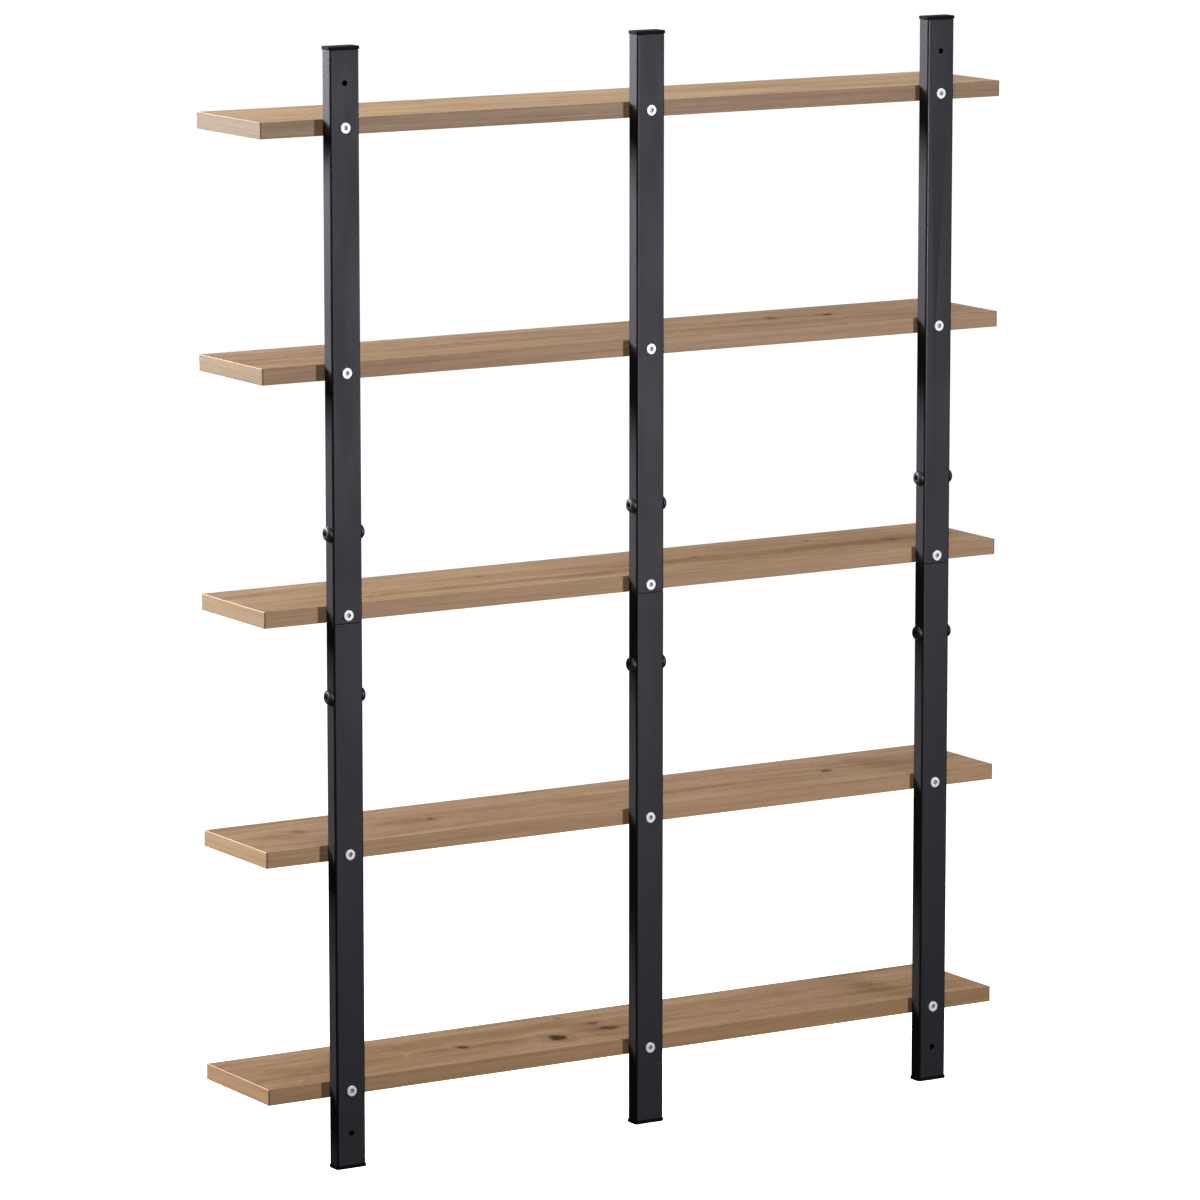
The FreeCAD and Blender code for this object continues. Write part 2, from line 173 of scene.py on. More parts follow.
def make_spot_group():
    """How far a place lies from a spot in spot sizes, and how far the grain bends round it."""
    group = bpy.data.node_groups.new("spot", "ShaderNodeTree")
    for name in ("X", "Y", "Spot X", "Spot Y", "Length", "Width"):
        group.interface.new_socket(name, in_out="INPUT", socket_type="NodeSocketFloat")
    for name in ("Distance", "Bend"):
        group.interface.new_socket(name, in_out="OUTPUT", socket_type="NodeSocketFloat")
    given = node(group, "NodeGroupInput").outputs
    away_x = maths(group, "SUBTRACT", given["X"], given["Spot X"])
    away_y = maths(group, "SUBTRACT", given["Y"], given["Spot Y"])
    along = maths(group, "DIVIDE", away_x, given["Length"])
    across = maths(group, "DIVIDE", away_y, given["Width"])
    along_squared = maths(group, "POWER", along, 2.0)
    across_squared = maths(group, "POWER", across, 2.0)
    squared = maths(group, "ADD", along_squared, across_squared)
    bend = maths(group, "DIVIDE", away_y, maths(group, "ADD", squared, BEND_FLOOR))
    output = node(group, "NodeGroupOutput")
    group.links.new(maths(group, "SQRT", squared), output.inputs["Distance"])
    group.links.new(bend, output.inputs["Bend"])
    return group


# The decor's colours from dark to light, each with its tone.
WOOD_STOPS = (
    (0.22, (0.235, 0.142, 0.081)),
    (0.42, (0.328, 0.211, 0.126)),
    (0.58, (0.392, 0.259, 0.160)),
    (0.80, (0.465, 0.318, 0.204)),
)
# Share of red, green and blue in the decor, tuned for each face and shelf against the photograph. The
# real decor is likely more even: these shares also paint in light and shade, making faces and shelves
# lighter or darker to make up for how the lights fall off here, and the top board's paler, whiter
# colour is a painted sheen.
PAINTED_LIGHT_AND_DECOR_TINTS = {
    "board": {
        1: (0.83, 0.88, 0.89),
        2: (0.75, 0.76, 0.78),
        3: (0.73, 0.73, 0.73),
        4: (0.67, 0.66, 0.67),
        5: (0.62, 0.60, 0.58),
    },
    "long": {
        1: (0.80, 0.77, 0.76),
        2: (0.94, 0.87, 0.83),
        3: (1.01, 0.92, 0.85),
        4: (1.06, 0.96, 0.82),
        5: (1.01, 0.89, 0.69),
    },
    "short": {
        1: (0.54, 0.57, 0.56),
        2: (0.68, 0.72, 0.73),
        3: (0.88, 0.92, 0.89),
        4: (0.99, 0.99, 0.91),
        5: (1.06, 0.98, 0.87),
    },
}
# Knots of each shelf: place and half size along and across the board in millimetres,
# and how dark the knot's core and halo are.
KNOTS = {
    1: ((-130, -96, 5.0, 3.0, 0.10, 0.25),),
    2: ((161, -80, 5.0, 4.0, 0.20, 0.25), (-187, -84, 7.0, 6.0, 0.55, 0.50),
        (-245, -75, 7.0, 6.0, 0.80, 0.55)),
    3: ((136, -80, 6.0, 6.0, 0.25, 0.30), (-93, -73, 6.0, 6.0, 0.40, 0.40),
        (-312, -66, 7.0, 7.0, 0.50, 0.45), (-236, -100, 4.0, 3.0, 0.40, 0.25)),
    4: ((330, -83, 6.0, 5.0, 0.35, 0.45), (218, -68, 17.0, 11.0, 0.05, 0.58),
        (198, -71, 3.5, 4.5, 0.60, 0.50), (-245, -73, 5.5, 6.0, 0.70, 0.45),
        (-200, -21, 3.5, 3.0, 0.40, 0.25)),
    5: ((167, -66, 5.5, 8.0, 0.85, 0.45), (70, -51, 11.5, 12.0, 1.00, 0.55),
        (8, -61, 13.0, 7.0, 0.70, 0.55), (11, -86, 9.0, 6.0, 0.55, 0.50),
        (30, -120, 3.5, 3.0, 0.50, 0.30), (-207, -95, 4.5, 3.5, 0.20, 0.25)),
}
# Soft darker streaks: place and half size along and across the board in millimetres, and darkness.
STREAKS = {
    1: ((-140, -95, 80, 7, 0.30), (-260, -50, 90, 8, 0.20), (330, -40, 60, 8, 0.15),
        (120, -35, 140, 7, 0.15)),
    2: ((140, -73, 140, 5, 0.55), (-195, -80, 100, 6, 0.50), (370, -75, 40, 5, 0.30),
        (-140, -45, 120, 9, 0.25), (60, -105, 160, 6, 0.20)),
    3: ((150, -42, 165, 10, 0.45), (40, -38, 60, 9, 0.30), (-180, -60, 165, 12, 0.50),
        (-60, -62, 60, 8, 0.35), (-340, -70, 50, 20, 0.30), (130, -83, 50, 5, 0.30),
        (250, -100, 120, 5, 0.15), (-170, -75, 190, 60, 0.25)),
    4: ((222, -71, 50, 9, 0.40), (345, -75, 50, 6, 0.35), (-150, -58, 110, 6, 0.35),
        (20, -75, 60, 8, 0.25), (-265, -76, 60, 5, 0.35), (-335, -70, 50, 24, 0.30),
        (100, -40, 160, 5, 0.20), (-60, -105, 160, 5, 0.15), (230, -70, 240, 70, 0.24)),
    5: ((320, -60, 70, 14, 0.35), (60, -60, 110, 10, 0.30), (10, -75, 42, 18, 0.35),
        (160, -66, 50, 8, 0.30), (-200, -60, 140, 8, 0.30), (-290, -75, 26, 40, 0.30),
        (-150, -105, 160, 5, 0.25), (200, -105, 170, 6, 0.20), (220, -70, 220, 70, 0.30)),
}
# Distances, in spot sizes, from which and to which each part of a knot or streak grows.
HALO_REACH = (3.2, 0.6)
CORE_REACH = (1.10, 0.45)
PALE_OUTSIDE = (3.4, 2.2)
PALE_INSIDE = (1.1, 1.9)
RING_REACH = (3.4, 0.8)
STREAK_REACH = (1.5, 0.2)
# Radians of the ring pattern per knot size.
KNOT_RINGS = 7.5
HALO_COLOUR = (0.165, 0.088, 0.060, 1)
KNOT_COLOUR = (0.030, 0.018, 0.009, 1)
# What pores, streaks, flecks, pale rims and rings add to the tone.
PORE_TONE = -0.16
STREAK_TONE = -0.62
FLECK_TONE = 0.26
PALE_TONE = 0.10
RING_TONE = 0.06
# Factor, and what is added, where the grain breaks up streaks, knots and halos.
STREAK_BREAKS = (1.3, -0.05)
KNOT_BREAKS = (1.3, 0.4)
HALO_BREAKS = (1.5, 0.0)
# Noise values between which pores, flecks and the patches with flecks come up.
PORE_RANGE = (0.58, 0.72)
FLECK_RANGE = (0.55, 0.75)
FLECK_PATCH_RANGE = (0.50, 0.66)
FLECK_SLANT = 0.8
# Heights of pores and fine grain in the relief.
PORE_HEIGHT = -0.7
FINE_HEIGHT = 0.4
GRAIN_ROUGHNESS = 0.55
# Steps of the seed from shelf to shelf, so that no two are alike.
BOARD_SEED = 3.7
BAND_SEED = 5.3


def wood_stops(shelf, face):
    """The decor's colours from dark to light on one face of one shelf, with its painted light and shade.
    """
    tint = PAINTED_LIGHT_AND_DECOR_TINTS[face][shelf]
    return [(place, tuple(channel * share for channel, share in zip(colour, tint)))
            for place, colour in WOOD_STOPS]


def grain(tree, along, across, seed, pace, pitch, detail=2.0):
    """Noise drawn out along the grain, with its repeats per metre along and across it."""
    place_along = maths(tree, "MULTIPLY_ADD", along, pace, seed)
    place_across = maths(tree, "MULTIPLY", across, pitch)
    return noise(tree, vector(tree, place_along, place_across, seed), detail, GRAIN_ROUGHNESS)


def make_board_material(shelf, spot_group):
    """Oak decor with lengthwise grain, darker streaks, and knots that the grain flows round."""
    material, tree = new_material(f"oak_decor_{shelf}")
    x, y, _ = coordinates(tree)
    seed = BOARD_SEED * shelf
    ragged = grain(tree, x, y, seed, pace=55.0, pitch=85.0, detail=5.0)
    ragged_x = swung(tree, ragged, size=0.026, base=x)
    ragged = grain(tree, x, y, seed + 9.0, pace=50.0, pitch=80.0, detail=5.0)
    ragged_y = swung(tree, ragged, size=0.021, base=y)

    def spot(place_x, place_y, length, width):
        """The distance from a spot and the grain's bend round it; its measures are in millimetres."""
        made = node(tree, "ShaderNodeGroup", node_tree=spot_group)
        tree.links.new(ragged_x, made.inputs["X"])
        tree.links.new(ragged_y, made.inputs["Y"])
        measures = {"Spot X": place_x, "Spot Y": place_y, "Length": length, "Width": width}
        for name, value in measures.items():
            made.inputs[name].default_value = value * MM
        return made.outputs["Distance"], made.outputs["Bend"]

    bends, halos, cores, pales, rings, darks = [], [], [], [], [], []
    for place_x, place_y, length, width, core, halo in KNOTS[shelf]:
        distance, bend = spot(place_x, place_y, length, width)
        bends.append(bend)
        halos.append(between(tree, distance, *HALO_REACH, 0.0, halo))
        cores.append(between(tree, distance, *CORE_REACH, 0.0, core))
        outside = between(tree, distance, *PALE_OUTSIDE, 0.0, core)
        pales.append(maths(tree, "MULTIPLY", outside, between(tree, distance, *PALE_INSIDE)))
        wave = maths(tree, "SINE", maths(tree, "MULTIPLY", distance, KNOT_RINGS))
        rings.append(maths(tree, "MULTIPLY", wave, between(tree, distance, *RING_REACH, 0.0, core)))
    for place_x, place_y, length, width, darkness in STREAKS[shelf]:
        distance, _ = spot(place_x, place_y, length, width)
        darks.append(between(tree, distance, *STREAK_REACH, 0.0, darkness))

    sway = grain(tree, x, y, seed, pace=2.6, pitch=9.0)
    ripple = grain(tree, x, y, seed + 6.0, pace=9.0, pitch=24.0)
    across = swung(tree, sway, size=0.030, base=maths(tree, "SUBTRACT", y, total(tree, bends)))
    across = swung(tree, ripple, size=0.009, base=across)
    cloud = grain(tree, x, across, seed, pace=4.5, pitch=34.0, detail=3.0)
    figure = grain(tree, x, across, seed + 2.0, pace=6.5, pitch=105.0)
    line = grain(tree, x, across, seed + 4.0, pace=11.0, pitch=250.0, detail=3.0)
    fine = grain(tree, x, across, seed, pace=30.0, pitch=1100.0)
    pore = grain(tree, x, across, seed, pace=70.0, pitch=900.0, detail=1.0)
    pore = between(tree, pore, *PORE_RANGE)
    slant_x = maths(tree, "MULTIPLY_ADD", y, FLECK_SLANT, x)
    slant_y = maths(tree, "MULTIPLY_ADD", x, -FLECK_SLANT, y)
    fleck = grain(tree, slant_x, slant_y, seed + 5.0, pace=45.0, pitch=330.0)
    patch = grain(tree, x, y, seed + 7.0, pace=13.0, pitch=26.0)
    patch = between(tree, patch, *FLECK_PATCH_RANGE)
    fleck = maths(tree, "MULTIPLY", between(tree, fleck, *FLECK_RANGE), patch)
    broken = maths(tree, "MULTIPLY_ADD", line, *STREAK_BREAKS)
    dark = maths(tree, "MULTIPLY", total(tree, darks), broken)

    tone = swung(tree, cloud, size=0.45, base=0.5)
    tone = swung(tree, figure, size=0.42, base=tone)
    tone = swung(tree, line, size=0.50, base=tone)
    tone = swung(tree, fine, size=0.37, base=tone)
    tone = maths(tree, "MULTIPLY_ADD", pore, PORE_TONE, tone)
    tone = maths(tree, "MULTIPLY_ADD", dark, STREAK_TONE, tone)
    tone = maths(tree, "MULTIPLY_ADD", fleck, FLECK_TONE, tone)
    tone = maths(tree, "MULTIPLY_ADD", total(tree, pales), PALE_TONE, tone)
    tone = maths(tree, "MULTIPLY_ADD", total(tree, rings), RING_TONE, tone)
    # The top's colours, lighter or darker from shelf to shelf: painted light and shade.
    colour = ramp(tree, tone, wood_stops(shelf, "board"))
    broken = maths(tree, "MULTIPLY_ADD", figure, *HALO_BREAKS)
    halo_share = maths(tree, "MULTIPLY", total(tree, halos), broken, clamp=True)
    colour = blended(tree, halo_share, colour, HALO_COLOUR)
    broken = maths(tree, "MULTIPLY_ADD", line, *KNOT_BREAKS)
    core_share = maths(tree, "MULTIPLY", total(tree, cores), broken, clamp=True)
    colour = blended(tree, core_share, colour, KNOT_COLOUR)

    height = maths(tree, "MULTIPLY_ADD", pore, PORE_HEIGHT, maths(tree, "MULTIPLY", fine, FINE_HEIGHT))
    finished(tree, Base_Color=colour, Specular_IOR_Level=0.01,
             Roughness=between(tree, line, *MID_NOISE, start=0.66, end=0.56),
             Normal=bumped(tree, height, strength=0.25, distance=0.00012))
    return material


CORE_BROWN = (0.115, 0.068, 0.040, 1)
# The bands' upward-facing upper edges: their colour, and how far it covers the decor. On the short
# bands the pale colour is a painted highlight; on the long bands the edge is darker.
UPPER_EDGE_COLOURS = {"long": (0.20, 0.118, 0.065, 1), "short": (0.54, 0.40, 0.27, 1)}
UPPER_EDGE_SHARE = 0.55
# Distances from the shelf's middle between which the long bands turn dark at the corners.
CORNER_LINE = (0.3984, 0.3990)
CORNER_SHARE = 0.8
# How squarely a face looks along the band as a cut end, or upwards as an upper edge.
END_FACING = (0.9, 0.99)
UPWARD_FACING = (0.4, 0.6)


def make_band_material(shelf, face):
    """Edge band with fine lines along it, dark cut ends and corners, and an upper edge that is darker
    on the long bands and a pale painted highlight on the short ones.
    """
    material, tree = new_material(f"oak_band_{face}_{shelf}")
    x, y, z = coordinates(tree)
    along = x if face == "long" else y
    seed = BAND_SEED * shelf
    cloud = grain(tree, along, z, seed, pace=5.0, pitch=60.0)
    line = grain(tree, along, z, seed, pace=6.0, pitch=480.0, detail=3.0)
    fine = grain(tree, along, z, seed, pace=40.0, pitch=1500.0)
    tone = swung(tree, cloud, size=0.30, base=0.52)
    tone = swung(tree, line, size=0.48, base=tone)
    tone = swung(tree, fine, size=0.35, base=tone)
    # The band's colours, lighter or darker by shelf and face: painted light and shade.
    colour = ramp(tree, tone, wood_stops(shelf, face))
    facing = node(tree, "ShaderNodeTexCoord").outputs["Normal"]
    facing_x, facing_y, facing_z = node(tree, "ShaderNodeSeparateXYZ", {0: facing}).outputs
    facing_along = maths(tree, "ABSOLUTE", facing_x if face == "long" else facing_y)
    colour = blended(tree, between(tree, facing_along, *END_FACING), colour, CORE_BROWN)
    if face == "long":
        corner = between(tree, maths(tree, "ABSOLUTE", x), *CORNER_LINE, 0.0, CORNER_SHARE)
        colour = blended(tree, corner, colour, CORE_BROWN)
    # Upward-facing edges take their colour: a pale painted highlight on the short bands, darker on the
    # long.
    upper_edge = maths(tree, "MULTIPLY", between(tree, facing_z, *UPWARD_FACING), UPPER_EDGE_SHARE)
    colour = blended(tree, upper_edge, colour, UPPER_EDGE_COLOURS[face])
    finished(tree, Base_Color=colour, Roughness=between(tree, line, *MID_NOISE, start=0.68, end=0.58),
             Normal=bumped(tree, fine, strength=0.2, distance=0.0001))
    return material


# Coated steel, plastic and metal

# Tint of the reflections in the dark coats.
COOL = (0.87, 0.86, 1.0, 1)
# Haze in a coat: its repeats per metre, its share in the shade, its swing in the roughness, and the
# range of the mix in which the shade goes from dark to pale.
HAZE_PITCH = (38.0, 38.0, 9.0)
HAZE_SHARE = 0.6
HAZE_SWING = 0.03
COAT_RANGE = (0.3, 0.75)
TUBE_RADIUS = 2.0 * MM
CORNER_FADE = 0.1 * TUBE_RADIUS
# What is added to the roughness on the posts' rolled corners.
CORNER_ROUGHNESS = -0.26
# Colour the screws turn behind a depth, and the fade to it: painted shade in their sockets.
RECESS_SHADE_COLOUR = (0.32, 0.32, 0.35, 1)
RECESS_SHADE_FADE = 0.4 * MM
PLATING_PITCH = (420.0, 420.0, 420.0)
PLATING_DULL = 0.8
# How far the turning marks bring the roughness down and up.
MARKS_SMOOTHER = 0.06
MARKS_ROUGHER = 0.08


def post_corners(tree, x, y):
    """1 on the rolled corners of the posts and 0 on their flat sides."""
    low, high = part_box("upper_post_right")
    pitch, middle = (low.x + high.x) / 2, (low.y + high.y) / 2
    from_post_x = maths(tree, "PINGPONG", x, pitch / 2)
    from_post_y = maths(tree, "ABSOLUTE", maths(tree, "SUBTRACT", y, middle))
    shares = []
    for distance, half in ((from_post_x, (high.x - low.x) / 2), (from_post_y, (high.y - low.y) / 2)):
        start = half - TUBE_RADIUS
        shares.append(between(tree, distance, start - CORNER_FADE, start + 2 * CORNER_FADE))
    return maths(tree, "MULTIPLY", *shares)


def make_coat_material(name, colour, pale, roughness, gloss, peel_pitch, relief, corners=None):
    """A dark coat with an orange-peel surface and uneven shine; gloss is its index of refraction."""
    material, tree = new_material(name)
    x, y, z = coordinates(tree)
    place = vector(tree, x, y, z)
    peel = noise(tree, scaled(tree, place, (peel_pitch,) * 3), 2.0)
    haze = noise(tree, scaled(tree, place, HAZE_PITCH), 3.0)
    mixed = maths(tree, "MULTIPLY_ADD", haze, HAZE_SHARE, maths(tree, "MULTIPLY", peel, 1 - HAZE_SHARE))
    dullness = between(tree, haze, *MID_NOISE, roughness - HAZE_SWING, roughness + HAZE_SWING)
    if corners is not None:
        dullness = maths(tree, "MULTIPLY_ADD", corners(tree, x, y), CORNER_ROUGHNESS, dullness)
    low, high = COAT_RANGE
    shade = ramp(tree, mixed, ((low, colour), (high, pale)))
    finished(tree, Base_Color=shade, Roughness=dullness, IOR=gloss, Specular_Tint=COOL,
             Normal=bumped(tree, peel, relief, distance=0.00006))
    return material


def make_metal_material(name, colour, metallic, roughness, brushed, recess_shade_behind=None):
    """Metal with fine turning marks and uneven plating; behind a depth it may turn darker as painted
    shade.
    """
    material, tree = new_material(name)
    x, y, z = coordinates(tree)
    place = vector(tree, x, y, z)
    marks = noise(tree, scaled(tree, place, brushed), 3.0)
    patches = noise(tree, scaled(tree, place, PLATING_PITCH), 2.0)
    dull = tuple(PLATING_DULL * channel for channel in colour)
    low, high = MID_NOISE
    shade = ramp(tree, patches, ((low, dull), (high, colour)))
    # Darker behind the depth: painted shade on the socket's floor.
    if recess_shade_behind is not None:
        recess_shade = between(tree, y, recess_shade_behind, recess_shade_behind - RECESS_SHADE_FADE)
        shade = blended(tree, recess_shade, shade, RECESS_SHADE_COLOUR)
    dullness = between(tree, marks, *MID_NOISE, roughness - MARKS_SMOOTHER, roughness + MARKS_ROUGHER)
    finished(tree, Base_Color=shade, Metallic=metallic, Roughness=dullness,
             Normal=bumped(tree, marks, strength=0.1, distance=0.00004))
    return material


spot_group = make_spot_group()
board_materials = {shelf: make_board_material(shelf, spot_group) for shelf in SHELVES}
long_band_materials = {shelf: make_band_material(shelf, "long") for shelf in SHELVES}
short_band_materials = {shelf: make_band_material(shelf, "short") for shelf in SHELVES}
paint_material = make_coat_material(
    "black_powder_coat", (0.0026, 0.0026, 0.0036), (0.0036, 0.0036, 0.0048),
    roughness=0.60, gloss=1.54, peel_pitch=900.0, relief=0.10, corners=post_corners)
plastic_material = make_coat_material(
    "black_plastic", (0.0015, 0.0015, 0.0020), (0.0026, 0.0026, 0.0032),
    roughness=0.62, gloss=1.20, peel_pitch=2200.0, relief=0.12)
bolt_material = make_coat_material(
    "black_plated_steel", (0.0050, 0.0050, 0.0056), (0.0080, 0.0080, 0.0088),
    roughness=0.48, gloss=1.66, peel_pitch=3000.0, relief=0.15)
zinc_material = make_metal_material(
    "zinc_plated_steel", (0.95, 0.96, 1.00),
    metallic=0.15, roughness=0.40, brushed=(500.0, 1500.0, 500.0), recess_shade_behind=0.5 * MM)
insert_material = make_metal_material(
    "insert_steel", (0.55, 0.56, 0.57), metallic=1.0, roughness=0.34, brushed=(400.0, 900.0, 400.0))
connector_material = make_metal_material(
    "connector_steel", (0.48, 0.49, 0.50), metallic=1.0, roughness=0.36, brushed=(900.0, 900.0, 60.0))


# Mesh helpers

def rounded_ring(half_x, half_y, radius, height):
    """A rounded rectangle of points round the Z axis at a height."""
    points = []
    for quarter, (side_x, side_y) in enumerate(((1, 1), (-1, 1), (-1, -1), (1, -1))):
        for step in range(CORNER_STEPS + 1):
            angle = math.pi / 2 * (quarter + step / CORNER_STEPS)
            points.append(Vector((
                side_x * (half_x - radius) + radius * math.cos(angle),
                side_y * (half_y - radius) + radius * math.sin(angle),
                height)))
    return points


def round_ring(radius, height):
    """A circle of points at a height; the radius may follow the angle."""
    points = []
    for step in range(ROUND):
        angle = 2 * math.pi * step / ROUND
        reach = radius(angle) if callable(radius) else radius
        points.append(Vector((reach * math.cos(angle), reach * math.sin(angle), height)))
    return points


def hexagon(flats):
    """The reach of a hexagon at an angle."""
    return lambda angle: flats / 2 / math.cos(angle % (math.pi / 3) - math.pi / 6)


def quarter_round(size, steps=4):
    """(in, along) pairs from the start to the end of a rounded edge."""
    pairs = []
    for step in range(steps + 1):
        angle = math.pi / 2 * step / steps
        pairs.append((size * (1 - math.sin(angle)), size * (1 - math.cos(angle))))
    return pairs


def add_loft(mesh, rings, closed=False):
    """Skin rings of points; their ends are filled or, where closed, joined to each other."""
    loops = [[mesh.verts.new(point) for point in ring] for ring in rings]
    pairs = list(zip(loops, loops[1:]))
    if closed:
        pairs.append((loops[-1], loops[0]))
    else:
        mesh.faces.new(loops[0])
        mesh.faces.new(loops[-1])
    for lower, upper in pairs:
        for number in range(len(lower)):
            after = (number + 1) % len(lower)
            mesh.faces.new((lower[number], lower[after], upper[after], upper[number]))


def placed(rings, origin, outward):
    """Rings made round Z, turned so that Z points outward, and moved to an origin."""
    turn = Vector(outward).to_track_quat("Z", "Y").to_matrix()
    return [[origin + turn @ point for point in ring] for ring in rings]


def new_object(name, mesh):
    """An object from a bmesh, with its normals outward."""
    bmesh.ops.recalc_face_normals(mesh, faces=mesh.faces)
    data = bpy.data.meshes.new(name)
    mesh.to_mesh(data)
    mesh.free()
    made = bpy.data.objects.new(name, data)
    bpy.context.scene.collection.objects.link(made)
    return made


def smooth(made):
    """Smooth shading between sharp edges, with flat faces kept flat."""
    made.data.shade_smooth()
    made.data.set_sharp_from_angle(angle=SHARP)
    weighted = made.modifiers.new("flat_faces_stay_flat", "WEIGHTED_NORMAL")
    weighted.keep_sharp = True


def add_piece(made, material, cad_node):
    """Smooth a piece, give it its material and its body, and hide the CAD node that it stands for."""
    smooth(made)
    made.data.materials.clear()
    made.data.materials.append(material)
    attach(made, "root")
    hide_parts(cad_node)


def cut_holes(made, cutter):
    """Cut a cutter object out of a piece, and remove the cutter."""
    modifier = made.modifiers.new("holes", "BOOLEAN")
    modifier.operation = "DIFFERENCE"
    modifier.solver = "EXACT"
    modifier.object = cutter
    bpy.context.view_layer.update()
    evaluated = made.evaluated_get(bpy.context.evaluated_depsgraph_get())
    cut = bpy.data.meshes.new_from_object(evaluated)
    made.modifiers.clear()
    old = made.data
    made.data = cut
    bpy.data.meshes.remove(old)
    cutter_mesh = cutter.data
    bpy.data.objects.remove(cutter)
    bpy.data.meshes.remove(cutter_mesh)


# Posts

TUBE_WALL = 1.2 * MM
TUBE_BORE_RADIUS = 0.8 * MM
TUBE_END_ROUND = 0.65 * MM
HOLE_ROUND = 0.35 * MM
WALL_HOLE_RADIUS = 2.5 * MM
SCREW_HOLE_RADIUS = 3.2 * MM
SLEEVE_HOLE_RADIUS = 4.2 * MM
DRILL_OVERRUN = 1 * MM
WALL_HOLE_Z = 482 * MM
JOINT_Z = 75 * MM
screw_heights = []
for shelf in SHELVES:
    low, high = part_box(f"shelf_{shelf}_board")
    screw_heights.append((low.z + high.z) / 2)


def through_cutter(mesh, origin, outward, radius, length):
    """A drill through both walls with rounded lips; it starts at origin and runs inwards."""
    rings = [round_ring(radius + HOLE_ROUND, DRILL_OVERRUN)]
    for inset, along in reversed(quarter_round(HOLE_ROUND)):
        rings.append(round_ring(radius + along, -inset))
    for inset, along in quarter_round(HOLE_ROUND):
        rings.append(round_ring(radius + along, inset - length))
    rings.append(round_ring(radius + HOLE_ROUND, -length - DRILL_OVERRUN))
    add_loft(mesh, placed(rings, origin, outward))


def make_tube(cad_node, holes_in_wall):
    """One length of post with rounded corners, eased ends and drilled holes."""
    low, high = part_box(cad_node)
    centre = (low + high) / 2
    half_x, half_y = (high.x - low.x) / 2, (high.y - low.y) / 2
    rings = []
    for inset, along in quarter_round(TUBE_END_ROUND):
        rings.append(rounded_ring(half_x - inset, half_y - inset, TUBE_RADIUS, low.z + along))
    for inset, along in reversed(quarter_round(TUBE_END_ROUND)):
        rings.append(rounded_ring(half_x - inset, half_y - inset, TUBE_RADIUS, high.z - along))
    for height in (high.z, low.z):
        rings.append(rounded_ring(half_x - TUBE_WALL, half_y - TUBE_WALL, TUBE_BORE_RADIUS, height))
    flat_centre = Vector((centre.x, centre.y, 0))
    mesh = bmesh.new()
    add_loft(mesh, [[flat_centre + point for point in ring] for ring in rings], closed=True)
    tube = new_object(f"tube_{cad_node}", mesh)

    drills = bmesh.new()
    for height in screw_heights:
        if low.z < height < high.z:
            origin = Vector((centre.x, high.y, height))
            through_cutter(drills, origin, TO_WALL, SCREW_HOLE_RADIUS, 2 * half_y)
    joint = JOINT_Z if centre.z > 0 else -JOINT_Z
    origin = Vector((high.x, centre.y, joint))
    through_cutter(drills, origin, TO_RIGHT, SLEEVE_HOLE_RADIUS, 2 * half_x)
    if holes_in_wall:
        height = WALL_HOLE_Z if centre.z > 0 else -WALL_HOLE_Z
        origin = Vector((centre.x, high.y, height))
        through_cutter(drills, origin, TO_WALL, WALL_HOLE_RADIUS, 2 * half_y)
    cut_holes(tube, new_object("drills", drills))
    add_piece(tube, paint_material, cad_node)


for post in POSTS:
    for length in ("upper", "lower"):
        make_tube(f"{length}_post_{post}", holes_in_wall=post != "middle")


# End caps

FLANGE = 3.0 * MM
FLANGE_RADIUS = 2.9 * MM
FLANGE_TOP_ROUND = 0.5 * MM
FLANGE_TOP_STEPS = 6
FLANGE_LOWER_ROUND = 0.3 * MM
CROWN_INSET = FLANGE_TOP_ROUND + 0.8 * MM
PLUG_HALF = (13.2 * MM, 5.7 * MM)
PLUG_DEPTH = 14 * MM
PLUG_WALL = 1.5 * MM
PLUG_RADIUS = 0.6 * MM
FINS = 3
FIN_REACH = 0.55 * MM
FIN_THICKNESS = 0.8 * MM
FIN_SLOPE = 0.25 * FIN_THICKNESS
FIN_PITCH = 4 * MM


